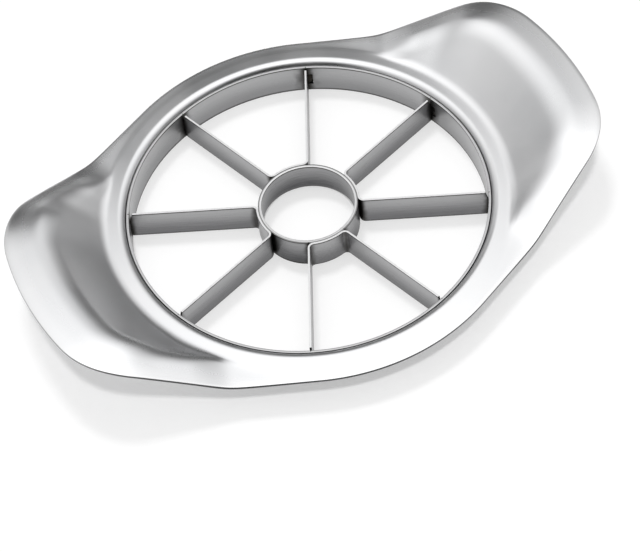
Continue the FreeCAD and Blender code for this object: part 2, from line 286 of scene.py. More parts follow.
def make_strip_steel(name, along_a_ring, across_per_mm, tones, polish_and_highlight, joint_shade_and_stain):
    """Strip in two tones, painted darker towards its bottom.

    The top edge's polish and painted highlight are a colour and a side; the painted shade and
    stain near the joints are a reach in millimetres and a side.
    """
    polish_highlight_colour, highlight_side = polish_and_highlight
    joint_shade_mm, joint_shade_side = joint_shade_and_stain
    material, tree = start_material(name)
    place, parts = place_in_mm(tree)
    radius = radius_of(tree, parts)
    grain = strip_grain(tree, parts, along_a_ring, across_per_mm)
    smear = noise(tree, place, SMEAR_PER_MM, detail=2.0)
    lines = tree.spread(grain, *LINE_RANGE, -STRIP_LINES, STRIP_LINES)
    # Painted shade: from its ground edge up to its top the strip goes from the first tone to the
    # second.
    climb = tree.spread(parts[2], GROUND_HEIGHT_MM, band_top_mm, 0.0, 1.0)
    side = tone(tree, tree.math("ADD", climb, lines), *tones)
    # Near each joint the strip is darker on the side that faces it: painted shade, with some stain.
    joint = joint_distance(tree, parts, along_a_ring)
    reach = tree.math("MULTIPLY", smear, 2.0 * joint_shade_mm)
    facing = tree.spread(radius, *joint_shade_side)
    joint_shade_and_stain_here = tree.math("MULTIPLY", tree.spread(joint, 0.0, reach, 1.0, 0.0), facing)
    painted_shade_and_stain = tree.math("MAXIMUM", joint_shade_and_stain_here, edge_shade(tree, parts))
    # Painted highlight: the top edge is painted lighter as a thin light line, on top of its polish.
    on_top = below_top(tree, parts, TOP_EDGE_MM, 1.0)
    polish_highlight_here = tree.math("MULTIPLY", on_top, tree.spread(radius, *highlight_side))
    shade_and_highlight = tone(tree, polish_highlight_here, tone(tree, painted_shade_and_stain, side, STAIN_AND_SHADE), polish_highlight_colour)
    seam = tree.spread(joint, *SEAM_MM, 1.0, 0.0)
    colour = tone(tree, tree.math("MULTIPLY", seam, facing), shade_and_highlight, STAIN_AND_SHADE)
    lined = tree.spread(grain, *NOISE_MIDDLE, *STRIP_ROUGHNESS)
    rough = tree.math("MULTIPLY_ADD", smear, SMEAR_ROUGHNESS, lined)
    roughness = tree.math("MULTIPLY_ADD", painted_shade_and_stain, MARK_ROUGHNESS, rough)
    finish_steel(tree, colour, roughness, grain, bump_mm=0.006)
    return material


# %% The three strip finishes
# A side is two radii in millimetres and its share at each: 1 on that side, less on the other.
EVERYWHERE = (0.0, 1.0, 1.0, 1.0)
INSIDE_OF_BAND = (band_inner_mm + 0.1, band_outer_mm, 1.0, 0.0)
OUTSIDE_OF_CORE = (core_outer_mm - 0.3, core_outer_mm - 0.1, 0.0, 1.0)
# The core's painted highlight lies on the inner half of its top.
INNER_HALF_OF_CORE = (core_outer_mm - 0.4, core_outer_mm - 0.2, 1.0, 0.3)

# In each finish below the first tone is the strip's bottom and the second its top: painted shade.
band_steel = make_strip_steel(
    "rolled_band_steel", along_a_ring=True, across_per_mm=12.0,
    tones=((0.31, 0.31, 0.315, 1), (0.42, 0.42, 0.425, 1)),
    polish_and_highlight=((0.6, 0.6, 0.605, 1), EVERYWHERE), joint_shade_and_stain=(3.4, INSIDE_OF_BAND))
blade_steel = make_strip_steel(
    "ground_blade_steel", along_a_ring=False, across_per_mm=12.0,
    tones=((0.19, 0.19, 0.195, 1), (0.4, 0.4, 0.405, 1)),
    polish_and_highlight=((0.86, 0.86, 0.865, 1), EVERYWHERE), joint_shade_and_stain=(1.8, EVERYWHERE))
core_steel = make_strip_steel(
    "turned_core_steel", along_a_ring=True, across_per_mm=10.0,
    tones=((0.1, 0.1, 0.104, 1), (0.32, 0.32, 0.325, 1)),
    polish_and_highlight=((0.8, 0.8, 0.805, 1), INNER_HALF_OF_CORE), joint_shade_and_stain=(2.0, OUTSIDE_OF_CORE))
print("strip finishes:", ", ".join(m.name for m in (band_steel, blade_steel, core_steel)))

# %% [markdown]
# ### Weld beads
#
# A tack weld is a grey, lumpy bead. Where it fills a slot of the band it is painted black as
# painted shade, and from inside the ring a slot is seen as a dark spot. One finish does both: it is
# painted black inside the band's outer face and grey outside it.

# %% Weld finish
# Painted shade: in the slots, inside the band's outer face, the bead is painted nearly black.
SLOT_SHADE_TONES = ((0.006, 0.0055, 0.005, 1), (0.025, 0.022, 0.018, 1))
BEAD_TONES = ((0.2, 0.19, 0.18, 1), (0.42, 0.395, 0.36, 1))
BEAD_ROUGHNESS = (0.3, 0.5)
TINT_MIDDLE = (0.35, 0.65)
LUMPS_PER_MM = 1.8
TINT_PER_MM = 0.7
slot_shade_ends_mm = (band_outer_mm - 0.05, band_outer_mm + 0.1)


def make_weld_steel():
    material, tree = start_material("tack_weld_steel")
    place, parts = place_in_mm(tree)
    lumps = noise(tree, place, LUMPS_PER_MM, detail=4.0)
    tint = tree.spread(noise(tree, place, TINT_PER_MM, detail=2.0), *TINT_MIDDLE, 0.0, 1.0)
    # Painted shade inside the slot, the bead's own grey outside the band.
    outside = tree.spread(radius_of(tree, parts), *slot_shade_ends_mm, 0.0, 1.0)
    colour = tone(tree, outside, tone(tree, tint, *SLOT_SHADE_TONES), tone(tree, tint, *BEAD_TONES))
    finish_steel(tree, colour, tree.spread(lumps, *NOISE_MIDDLE, *BEAD_ROUGHNESS), lumps, bump_mm=0.05)
    return material


weld_steel = make_weld_steel()
print(f"{weld_steel.name}: black up to {slot_shade_ends_mm[0]:.1f} mm from the core's axis, grey beyond")

# %% [markdown]
# ## The pressed frame
#
# The frame is one sheet. Inside is a short collar, then a rolled lip, then a valley, and from there
# the sheet climbs a ramp to a crest and falls a little over a flat flange to its outline. Beside the
# opening the ramp has no height, and in the wings it is the pocket that the fingers feel.
#
# The solid's own mesh has uneven triangles, and polished metal shows every one of them. It could be
# remeshed and smoothed, but that rounds the folds as well. The form follows a rule, so the sheet is
# drawn again from that rule: one section for each ray from the core axis, with the same sizes as the
# solid, and points that lie in even rows. Even rows are what gives calm reflections.

# %% Sizes of the frame
SHEET_MM = 0.8
COLLAR_PLAY_MM = 0.05
LIP_ROLL_MM = 1.9
LIP_RUN_MM = 2.0
CREST_RUN_MM = 2.3
CREST_BLEND_MM = 1.2
SIDE_NORMAL = math.radians(65.5)
CORNER_MM = 20.6
CREST_CORNER_MM = 18.0
TIP_MM = 80.6
WING_RISE_MM = 10.9
WING_LENGTH_MM = 32.9
RISE_SLOPE = 0.45
RISE_SOFT_MM = (2.4, 2.5)
FLANGE_MM = (7.0, 10.0)
FLANGE_SLOPE = 0.16
FLANGE_TURN_MM = 8.0
frame_low, frame_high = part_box("frame")
half_length_mm = frame_high.x / MM
ring_mm = frame_high.y / MM
collar_low_mm = frame_low.z / MM
collar_mm = band_outer_mm + COLLAR_PLAY_MM
lip_foot_mm = collar_mm + LIP_ROLL_MM + LIP_RUN_MM
crest_min_mm = lip_foot_mm + CREST_RUN_MM
crease_mm = half_length_mm - WING_LENGTH_MM
print(f"frame: {half_length_mm:.1f} mm to a wing tip, {ring_mm:.1f} mm beside the opening")


# %% Helpers for plane curves
def direction(angle):
    return np.array([math.cos(angle), math.sin(angle)])


def angle_of(point):
    return math.atan2(point[1], point[0])


def smoothstep(value):
    t = min(max(value, 0.0), 1.0)
    return t * t * (3.0 - 2.0 * t)


def above_zero(value, soft):
    """The value where it is positive and nought where it is negative, with a soft bend between."""
    return (value + math.hypot(value, soft)) / 2


def share(pair, weight):
    return pair[0] + (pair[1] - pair[0]) * weight


# %% Rule of the outline and the crest line
side_normal = direction(SIDE_NORMAL)
side_along = direction(SIDE_NORMAL - math.pi / 2)
tip_centre = np.array([half_length_mm - TIP_MM, 0.0])


class RoundedWing:
    """Closed line in plan: arc beside the opening, straight side, corner arc and tip arc."""

    def __init__(self, side, corner, tip):
        self.side, self.corner, self.tip = side, corner, tip
        offset = side_normal * (side - corner) - tip_centre
        reach = offset @ side_along
        run = math.sqrt(reach ** 2 + (tip - corner) ** 2 - offset @ offset) - reach
        self.centre = tip_centre + offset + side_along * run
        self.tip_facing = angle_of(self.centre - tip_centre)
        self.corner_from = angle_of(self.centre + side_normal * corner)
        self.corner_to = angle_of(self.centre + direction(self.tip_facing) * corner)

    def at(self, angle):
        """Point on the ray at this angle, and the direction that the line faces there."""
        ray = direction(angle)
        if angle >= SIDE_NORMAL:
            return ray * self.side, ray
        if angle >= self.corner_from:
            return ray * (self.side / (ray @ side_normal)), side_normal
        at_corner = angle >= self.corner_to
        centre = self.centre if at_corner else tip_centre
        along = ray @ centre
        radius = self.corner if at_corner else self.tip
        point = ray * (along + math.sqrt(along ** 2 - centre @ centre + radius ** 2))
        return point, (point - centre) / radius


# %% Outline and crest line
outline = RoundedWing(ring_mm, CORNER_MM, TIP_MM)
crest_line = RoundedWing(ring_mm - FLANGE_MM[0], CREST_CORNER_MM, TIP_MM - FLANGE_MM[1])
corner_leads = []
for angle, width in zip((crest_line.corner_from, crest_line.corner_to), FLANGE_MM):
    point, facing = crest_line.at(angle)
    corner_leads.append(angle_of(point + facing * width) - angle)


def crest_and_edge(angle):
    """Crest point on the ray at this angle in the first quadrant, and the outline point beyond it."""
    crest, facing = crest_line.at(angle)
    along_corner = (crest_line.corner_from - angle) / (crest_line.corner_from - crest_line.corner_to)
    if 0.0 < along_corner < 1.0:
        edge = outline.at(angle + share(corner_leads, smoothstep(along_corner)))[0]
    else:
        edge = crest + facing * FLANGE_MM[0 if along_corner <= 0.0 else 1]
    run = np.linalg.norm(crest)
    return crest * ((run + above_zero(crest_min_mm - run, CREST_BLEND_MM)) / run), edge


corner_degrees = [math.degrees(a) for a in (outline.corner_to, outline.corner_from)]
print("the outline's corner runs from {:.1f} to {:.1f} degrees".format(*corner_degrees))

# %% [markdown]
# ### One section of the sheet
#
# On each ray the upper side is a chain of stretches: collar, roll, lip, valley fold, ramp, crest
# fold and flange. A fold is a parabola, because it leaves both straight stretches without a kink
# and needs only its two ends and its corner. Every ray gets as many points in each stretch as the
# next one, so that the points of all the rays line up in rows.

# %% Stretches of a section
VALLEY_RUN_MM = (0.8, 1.5)
RAMP_START_MM = (0.4, 1.3)
RAMP_END_MM = (0.4, 3.4)
WING_RUN_MM = 8.0
CREST_EASE = 0.4
EDGE_ROUND_MM = 0.18
COLLAR_STEPS = 4
ROLL_STEPS = 16
LIP_STEPS = 3
VALLEY_STEPS = 8
RAMP_STEPS = 8
CREST_STEPS = 12
FLANGE_STEPS = 6


def straight(start, end, steps):
    """Points from start towards end, without the end itself."""
    return [start + (end - start) * (k / steps) for k in range(steps)]


def folded(start, corner, end, steps):
    """Points on the parabola that rounds off a corner, without the last."""
    points = []
    for k in range(steps):
        t = k / steps
        points.append(start * (1 - t) ** 2 + corner * (2 * t * (1 - t)) + end * t ** 2)
    return points


def flange_level(radius):
    """Height of the sheet beside the opening, which falls a little outwards."""
    return band_top_mm + FLANGE_SLOPE * (ring_mm - radius)


slope_size = math.hypot(1.0, FLANGE_SLOPE)
roll_turn = math.pi / 2 + math.atan(FLANGE_SLOPE)
roll_radius = collar_mm + LIP_ROLL_MM
roll_centre = np.array([roll_radius, flange_level(roll_radius) - LIP_ROLL_MM * slope_size])
print(f"the lip rolls through {math.degrees(roll_turn):.0f} degrees round {roll_centre.round(2)}")


# %% Section on one ray
def upper_section(angle):
    """Points of the upper side on one ray of the first quadrant, from the collar's foot outwards."""
    crest, edge = crest_and_edge(angle)
    crest_r = np.linalg.norm(crest)
    ray = crest / crest_r
    climb = RISE_SLOPE * above_zero(edge[0] - crease_mm, RISE_SOFT_MM[0])
    edge_z = band_top_mm + WING_RISE_MM - above_zero(WING_RISE_MM - climb, RISE_SOFT_MM[1])
    facing_ring_z = flange_level(crest_r) + edge_z - band_top_mm
    facing_edge_z = edge_z + FLANGE_SLOPE * np.linalg.norm(edge - crest)
    turn = smoothstep((edge[0] - crease_mm) / FLANGE_TURN_MM)
    crest_z = share((facing_ring_z, facing_edge_z), turn)
    wing = smoothstep((crest_r - crest_min_mm) / (lip_foot_mm + WING_RUN_MM - crest_min_mm))
    valley_r = lip_foot_mm + share(VALLEY_RUN_MM, wing)
    start_r = valley_r + share(RAMP_START_MM, wing)
    end_r = crest_r - share(RAMP_END_MM, wing)
    slope = (crest_z - flange_level(valley_r)) / (crest_r - valley_r)

    def on_ray(radius, level):
        return np.array([ray[0] * radius, ray[1] * radius, level])

    def on_ramp(radius):
        return on_ray(radius, flange_level(valley_r) + slope * (radius - valley_r))

    collar_foot = on_ray(collar_mm, collar_low_mm + EDGE_ROUND_MM)
    roll = []
    for k in range(ROLL_STEPS + 1):
        facing = direction(math.pi - roll_turn * k / ROLL_STEPS)
        roll.append(on_ray(*(roll_centre + LIP_ROLL_MM * facing)))
    foot = on_ray(lip_foot_mm, flange_level(lip_foot_mm))
    valley = on_ray(valley_r, flange_level(valley_r))
    crest_point = np.array([crest[0], crest[1], crest_z])
    edge_point = np.array([edge[0], edge[1], edge_z])
    flange = edge_point - crest_point
    flange_start = crest_point + flange * CREST_EASE
    flange_end = edge_point - flange * (EDGE_ROUND_MM / np.linalg.norm(flange))
    points = straight(collar_foot, roll[0], COLLAR_STEPS) + roll[:-1]
    points += straight(roll[-1], foot, LIP_STEPS)
    points += folded(foot, valley, on_ramp(start_r), VALLEY_STEPS)
    points += straight(on_ramp(start_r), on_ramp(end_r), RAMP_STEPS)
    points += folded(on_ramp(end_r), crest_point, flange_start, CREST_STEPS)
    points += straight(flange_start, flange_end, FLANGE_STEPS) + [flange_end]
    return points


# %% Grid of the upper side
FRAME_COLUMNS = 432
WING_CROWDING = 0.4


def frame_grid():
    """Upper side of the sheet as an array: columns round the frame, rows across it, then X, Y, Z."""
    columns = []
    for k in range(FRAME_COLUMNS):
        turn = 2 * math.pi * k / FRAME_COLUMNS
        angle = turn - WING_CROWDING / 2 * math.sin(2 * turn)
        fold = math.remainder(angle, 2 * math.pi)
        quarter = min(abs(fold), math.pi - abs(fold))
        flip = np.array([-1.0 if abs(fold) > math.pi / 2 else 1.0, -1.0 if fold < 0 else 1.0, 1.0])
        columns.append(np.array(upper_section(quarter)) * flip)
    return np.array(columns)


upper_side = frame_grid()
print(f"upper side: {upper_side.shape[0]} columns of {upper_side.shape[1]} points")

# %% Cut ends and underside of the sheet
ROUND_ANGLES = (math.pi / 6, math.pi / 3, math.pi / 2)


def unit(vectors):
    return vectors / np.linalg.norm(vectors, axis=-1, keepdims=True)


def rounded_end(last, out, normal):
    """Points round the cut end of the sheet, from the upper side to the lower one."""
    top, under = [], []
    for angle in ROUND_ANGLES:
        side = EDGE_ROUND_MM * out * math.sin(angle)
        drop = EDGE_ROUND_MM * (1 - math.cos(angle))
        top.append(last + side - normal * drop)
        under.append(last + side - normal * (SHEET_MM - drop))
    return top + under[::-1]


def closed_sheet(upper):
    """Columns of points all round the sheet, upper side first, and how many rows the rim has."""
    around = np.roll(upper, -1, axis=0) - np.roll(upper, 1, axis=0)
    across = np.gradient(upper, axis=1)
    normals = unit(np.cross(across, around))
    normals *= np.sign(normals[:, -1:, 2:])
    lower = upper - normals * SHEET_MM
    outwards = unit(upper[:, -1] - upper[:, -2])
    down = unit(upper[:, 0] - upper[:, 1])
    rim = rounded_end(upper[:, -1], outwards, normals[:, -1])
    foot = rounded_end(upper[:, 0], down, normals[:, 0])
    loop = list(np.moveaxis(upper, 1, 0)) + rim + list(np.moveaxis(lower, 1, 0))[::-1] + foot[::-1]
    return np.stack(loop, axis=1), len(rim)


# %% The sheet as a mesh
RUBBED_ROWS = 3
RUB_FADE = (0.05, 0.15, 0.35, 0.7)


def grid_faces(columns, rows):
    """Four-sided faces of a grid that closes on itself in both directions."""
    faces = []
    for i in range(columns):
        here = i * rows
        beside = (i + 1) % columns * rows
        for j in range(rows):
            after = (j + 1) % rows
            faces.append((here + j, beside + j, beside + after, here + after))
    return faces


def mark_rim(mesh, columns, rows, rim_from, rim_to):
    """The attributes that the satin reads: "rim" where hands rub, and "cut" on the cut edge, painted
    dark as shade.
    """
    rub = np.zeros(rows, np.float32)
    rub[rim_from - RUBBED_ROWS:rim_to + RUBBED_ROWS] = 1.0
    rub[rim_from - RUBBED_ROWS - len(RUB_FADE):rim_from - RUBBED_ROWS] = RUB_FADE
    cut = np.zeros(rows, np.float32)
    cut[rim_from + 1:rim_to - 1] = 1.0
    for name, values in (("rim", rub), ("cut", cut)):
        attribute = mesh.attributes.new(name, "FLOAT", "POINT")
        attribute.data.foreach_set("value", np.tile(values, columns))


def make_frame_mesh(upper):
    sheet, rim_rows = closed_sheet(upper)
    points = sheet * MM
    columns, rows = points.shape[:2]
    mesh = bpy.data.meshes.new("pressed_frame")
    mesh.from_pydata(points.reshape(-1, 3).tolist(), [], grid_faces(columns, rows))
    rim_from = upper.shape[1]
    mark_rim(mesh, columns, rows, rim_from, rim_from + rim_rows)
    return mesh


# %% Normals, and the frame's mesh
def recalculate_normals(mesh):
    """Faces turned outwards; gives the mesh's volume."""
    work = bmesh.new()
    work.from_mesh(mesh)
    bmesh.ops.recalc_face_normals(work, faces=work.faces)
    volume = work.calc_volume(signed=True)
    if volume < 0:
        bmesh.ops.reverse_faces(work, faces=work.faces)
    work.to_mesh(mesh)
    work.free()
    return abs(volume)


frame_mesh = make_frame_mesh(upper_side)
frame_volume = recalculate_normals(frame_mesh)
frame_mesh.shade_smooth()
print(f"frame: {len(frame_mesh.polygons)} faces, {frame_volume / MM ** 3:.0f} cubic mm of sheet")


# %% The frame in the scene
def place_piece(mesh, name, material, slot, *nodes):
    """A finished piece: in the scene, on its body, and standing for its CAD nodes."""
    piece = bpy.data.objects.new(name, mesh)
    bpy.context.scene.collection.objects.link(piece)
    mesh.materials.clear()
    mesh.materials.append(material)
    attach(piece, "root")
    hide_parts(*nodes)
    return piece


pressed_frame = place_piece(frame_mesh, "pressed_frame", frame_steel, "frame_steel", "frame")
print(f"{pressed_frame.name} is {pressed_frame.dimensions.z / MM:.1f} mm high")

# %% [markdown]
# ## The band with its slots
#
# The band is a strip rolled into a ring. Beside each blade it has a slot that the blade's tab goes
# through. Cutting eight slots by hand in edit mode would fix their number for good. A Geometry Nodes
# tree keeps the number, the place and the size of the slots as inputs: a circle is swept with a
# rectangle, blocks are set on points round the core axis, and the blocks are cut away.


# %% Geometry tree helpers
def start_geometry(name, sizes):
    """An empty geometry tree with one named input for each size, and its Group Input node."""
    group = bpy.data.node_groups.new(name, "GeometryNodeTree")
    group.interface.new_socket("Geometry", in_out="OUTPUT", socket_type="NodeSocketGeometry")
    for label, value in sizes.items():
        kind = "NodeSocketInt" if isinstance(value, int) else "NodeSocketFloat"
        group.interface.new_socket(label, in_out="INPUT", socket_type=kind)
    group.interface.new_socket("Finish", in_out="INPUT", socket_type="NodeSocketMaterial")
    tree = Tree(group)
    return group, tree, tree.add("NodeGroupInput").outputs


def end_geometry(tree, geometry, finish):
    """Realize Instances and Set Material, and the tree's output."""
    real = tree.add("GeometryNodeRealizeInstances", {0: geometry})
    dressed = tree.add("GeometryNodeSetMaterial", {"Geometry": real.outputs[0], "Material": finish})
    tree.add("NodeGroupOutput", {0: dressed.outputs[0]})


def bake_geometry(group, sizes, material):
    """The tree's result as a plain mesh, with the inputs set by their identifiers."""
    seed_mesh = bpy.data.meshes.new(group.name + "_seed")
    holder = bpy.data.objects.new(group.name + "_holder", seed_mesh)
    bpy.context.scene.collection.objects.link(holder)
    modifier = holder.modifiers.new("build", "NODES")
    modifier.node_group = group
    values = {**sizes, "Finish": material}
    for item in group.interface.items_tree:
        if item.in_out == "INPUT":
            modifier[item.identifier] = values[item.name]
    graph = bpy.context.evaluated_depsgraph_get()
    mesh = bpy.data.meshes.new_from_object(holder.evaluated_get(graph))
    holder.modifiers.remove(modifier)
    bpy.data.objects.remove(holder)
    return mesh


# %% Points round the core axis
def points_round_core(tree, count, lead, radius):
    """Points at equal angles on a circle, and the rotation that turns X outwards at each."""
    index = tree.add("GeometryNodeInputIndex").outputs[0]
    pitch = tree.math("DIVIDE", 2 * math.pi, count)
    angle = tree.math("MULTIPLY_ADD", index, pitch, lead)
    x = tree.math("MULTIPLY", tree.math("COSINE", angle), radius)
    y = tree.math("MULTIPLY", tree.math("SINE", angle), radius)
    place = tree.add("ShaderNodeCombineXYZ", {0: x, 1: y}).outputs[0]
    turn = tree.add("ShaderNodeCombineXYZ", {2: angle}).outputs[0]
    points = tree.add("GeometryNodePoints", {"Count": count, "Position": place}).outputs[0]
    return points, turn


# %% Tree of the slotted band
BAND_SIDES = 512
BLOCK_DEPTH = 4.0


def swept_band(tree, given):
    """A rectangle swept round a circle, with its lower edge at Z = 0."""
    circle = tree.add("GeometryNodeCurvePrimitiveCircle", {
        "Resolution": BAND_SIDES, "Radius": given["Middle radius"]})
    strip = tree.add("GeometryNodeCurvePrimitiveQuadrilateral", {
        "Width": given["Thickness"], "Height": given["Height"]})
    ring = tree.add("GeometryNodeCurveToMesh", {
        "Curve": circle.outputs[0], "Profile Curve": strip.outputs[0]})
    lift = tree.add("ShaderNodeCombineXYZ", {2: tree.math("MULTIPLY", given["Height"], 0.5)})
    return tree.add("GeometryNodeTransform", {
        "Geometry": ring.outputs[0], "Translation": lift.outputs[0]}).outputs[0]


def slot_blocks(tree, given):
    """One block through the band at each slot, deeper than the band is thick."""
    points, turn = points_round_core(tree, given["Slots"], given["Lead angle"], given["Middle radius"])
    depth = tree.math("MULTIPLY", given["Thickness"], BLOCK_DEPTH)
    size = tree.add("ShaderNodeCombineXYZ", {0: depth, 1: given["Slot width"], 2: given["Slot height"]})
    block = tree.add("GeometryNodeMeshCube", {"Size": size.outputs[0]})
    offset = tree.add("ShaderNodeCombineXYZ", {1: given["Slot offset"], 2: given["Slot middle"]})
    cutter = tree.add("GeometryNodeTransform", {
        "Geometry": block.outputs[0], "Translation": offset.outputs[0]})
    cutters = tree.add("GeometryNodeInstanceOnPoints", {
        "Points": points, "Instance": cutter.outputs[0], "Rotation": turn})
    return tree.add("GeometryNodeRealizeInstances", {0: cutters.outputs[0]}).outputs[0]


def make_band_tree(sizes):
    group, tree, given = start_geometry("slotted_band", sizes)
    pieces = {"Mesh 1": swept_band(tree, given), "Mesh 2": slot_blocks(tree, given)}
    slotted = tree.add("GeometryNodeMeshBoolean", pieces, operation="DIFFERENCE")
    end_geometry(tree, slotted.outputs[0], given["Finish"])
    return group


# %% Sizes of the slots, and the band's mesh
SLOT_LOW_MM = 2.2
SLOT_HIGH_MM = 5.8
SLOT_OPEN_MM = 1.35
SLOT_PLAY_MM = 0.1
slot_width_mm = BLADE_THICK_MM + SLOT_OPEN_MM + SLOT_PLAY_MM
band_sizes = {
    "Middle radius": (band_outer_mm - BAND_THICK_MM / 2) * MM,
    "Thickness": BAND_THICK_MM * MM,
    "Height": band_top_mm * MM,
    "Slots": BLADE_COUNT,
    "Lead angle": BLADE_LEAD,
    "Slot width": slot_width_mm * MM,
    "Slot height": (SLOT_HIGH_MM - SLOT_LOW_MM) * MM,
    "Slot offset": (SLOT_PLAY_MM - SLOT_OPEN_MM) / 2 * MM,
    "Slot middle": (SLOT_HIGH_MM + SLOT_LOW_MM) / 2 * MM,
}
band_mesh = bake_geometry(make_band_tree(band_sizes), band_sizes, band_steel)
recalculate_normals(band_mesh)
print(f"band: {len(band_mesh.polygons)} faces with {BLADE_COUNT} slots")

# %% [markdown]
# ## Softening the cut edges
#
# Cut strip never has a perfectly sharp edge. A round of a few hundredths of a millimetre is enough
# to catch the light as the thin bright line that the top edges show. A Bevel modifier with an angle
# limit makes it on every edge at once, and Weighted Normal keeps the flat faces flat.

# %% Edge rounding, and the band in the scene
EDGE_SOFT_MM = 0.05
EDGE_SEGMENTS = 2
EDGE_ANGLE = math.radians(35)


def soften_edges(mesh):
    holder = bpy.data.objects.new("soften_holder", mesh)
    bpy.context.scene.collection.objects.link(holder)
    bevel = holder.modifiers.new("round", "BEVEL")
    bevel.width = EDGE_SOFT_MM * MM
    bevel.segments = EDGE_SEGMENTS
    bevel.limit_method = "ANGLE"
    bevel.angle_limit = EDGE_ANGLE
    bevel.use_clamp_overlap = True
    weighted = holder.modifiers.new("flat", "WEIGHTED_NORMAL")
    weighted.keep_sharp = True
    mesh.shade_smooth()
    graph = bpy.context.evaluated_depsgraph_get()
    result = bpy.data.meshes.new_from_object(holder.evaluated_get(graph))
    bpy.data.objects.remove(holder)
    return result


band = place_piece(soften_edges(band_mesh), "slotted_band", band_steel, "band_steel", "band")
print(f"{band.name}: {len(band.data.polygons)} faces with soft edges")

# %% [markdown]
# ## The core ring
#
# The core ring is a short tube, ground from inside to a cutting edge below. It could be swept like
# the band, but its section is not a rectangle. So the section is drawn once and spun about the axis,
# as on a lathe. The ends of a spin lie on each other and have to be merged to close the ring.

# %% Section of the core ring, and its turning
CORE_THICK_MM = 0.8
CORE_BEVEL_MM = 1.7
EDGE_LAND_MM = 0.14
CORE_SIDES = 256
MERGE_MM = 0.001


def make_core_mesh():
    inner = core_outer_mm - CORE_THICK_MM
    section = [(inner, CORE_BEVEL_MM), (core_outer_mm - EDGE_LAND_MM, 0), (core_outer_mm, 0),
               (core_outer_mm, band_top_mm), (inner, band_top_mm)]
    work = bmesh.new()
    corners = [work.verts.new((r * MM, 0, z * MM)) for r, z in section]
    edges = [work.edges.new((a, b)) for a, b in zip(corners, corners[1:] + corners[:1])]
    bmesh.ops.spin(work, geom=corners + edges, axis=(0, 0, 1), cent=(0, 0, 0),
                   steps=CORE_SIDES, angle=2 * math.pi)
    bmesh.ops.remove_doubles(work, verts=work.verts, dist=MERGE_MM * MM)
    mesh = bpy.data.meshes.new("core_ring_turned")
    work.to_mesh(mesh)
    work.free()
    recalculate_normals(mesh)
    return mesh


core = place_piece(
    soften_edges(make_core_mesh()), "core_ring_turned", core_steel, "core_steel", "core_ring")
print(f"{core.name}: {len(core.data.polygons)} faces")

# %% [markdown]
# ## The V strips
#
# Each strip is bent to a V: two blades, joined by a foot that lies on the core ring. The solids have
# every bend and bevel already, and flat faces need no finer mesh. So each strip is the solid's own
# mesh, with its loose triangles joined, its flat areas made one face again, and its edges softened.

# %% Blade strips
FLAT_ANGLE = math.radians(0.5)


def merged_copy(node):
    """A CAD node's triangles joined into one closed mesh, with flat areas made one face again."""
    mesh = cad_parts[node].data.copy()
    work = bmesh.new()
    work.from_mesh(mesh)
    bmesh.ops.remove_doubles(work, verts=work.verts, dist=MERGE_MM * MM)
    bmesh.ops.dissolve_limit(work, angle_limit=FLAT_ANGLE, verts=work.verts, edges=work.edges)
    work.to_mesh(mesh)
    work.free()
    return mesh


blades = []
for k in range(1, BLADE_COUNT // 2 + 1):
    node = f"blade_strip_{k}"
    mesh = soften_edges(merged_copy(node))
    blades.append(place_piece(mesh, f"v_strip_{k}", blade_steel, "blade_steel", node))
print("faces of the blade strips:", [len(b.data.polygons) for b in blades])

# %% [markdown]
# ## The welds
#
# Each tab is tacked to the band from outside, and a short bead under the collar holds the frame. A
# real bead is a small lump that is never quite the same twice. One lump, set on points round the
# band and scaled at random by a fixed seed, gives that without modelling sixteen of them.

# %% Tree of the weld lumps
LUMP_SUBDIVISIONS = 4
LUMP_NOISE = {"Scale": 2.2, "Detail": 2.0}
LUMP_SWELL = (0.5, 0.68)
SMALLEST_LUMP = 0.85


def weld_lump(tree):
    """A ball of radius 1 that noise swells and dents."""
    ball = tree.add("GeometryNodeMeshIcoSphere", {"Radius": 1.0, "Subdivisions": LUMP_SUBDIVISIONS})
    place = tree.add("GeometryNodeInputPosition").outputs[0]
    rough = tree.add("ShaderNodeTexNoise", {"Vector": place, **LUMP_NOISE}).outputs[0]
    swell = tree.math("MULTIPLY_ADD", rough, *LUMP_SWELL)
    moved = tree.add("ShaderNodeVectorMath", {0: place, "Scale": swell}, operation="SCALE").outputs[0]
    shaped = tree.add("GeometryNodeSetPosition", {"Geometry": ball.outputs[0], "Position": moved})
    return tree.add("GeometryNodeSetShadeSmooth", {0: shaped.outputs[0]}).outputs[0]


def make_weld_tree(name, sizes):
    group, tree, given = start_geometry(name, sizes)
    points, turn = points_round_core(tree, given["Welds"], given["Lead angle"], given["Radius"])
    lumps = tree.add("GeometryNodeInstanceOnPoints", {
        "Points": points, "Instance": weld_lump(tree), "Rotation": turn})
    shift = tree.add("ShaderNodeCombineXYZ", {1: given["Sideways"], 2: given["Level"]}).outputs[0]
    lifted = tree.add("GeometryNodeTranslateInstances", {
        "Instances": lumps.outputs[0], "Translation": shift, "Local Space": True})
    size = tree.add("ShaderNodeCombineXYZ", {0: given["Depth"], 1: given["Width"], 2: given["Height"]})
    chance = tree.add("FunctionNodeRandomValue", {
        2: SMALLEST_LUMP, 3: 1.0, "Seed": given["Seed"]}).outputs[1]
    scaled = tree.add("ShaderNodeVectorMath", {0: size.outputs[0], "Scale": chance}, operation="SCALE")
    sized = tree.add("GeometryNodeScaleInstances", {
        "Instances": lifted.outputs[0], "Scale": scaled.outputs[0], "Local Space": True})
    end_geometry(tree, sized.outputs[0], given["Finish"])
    return group


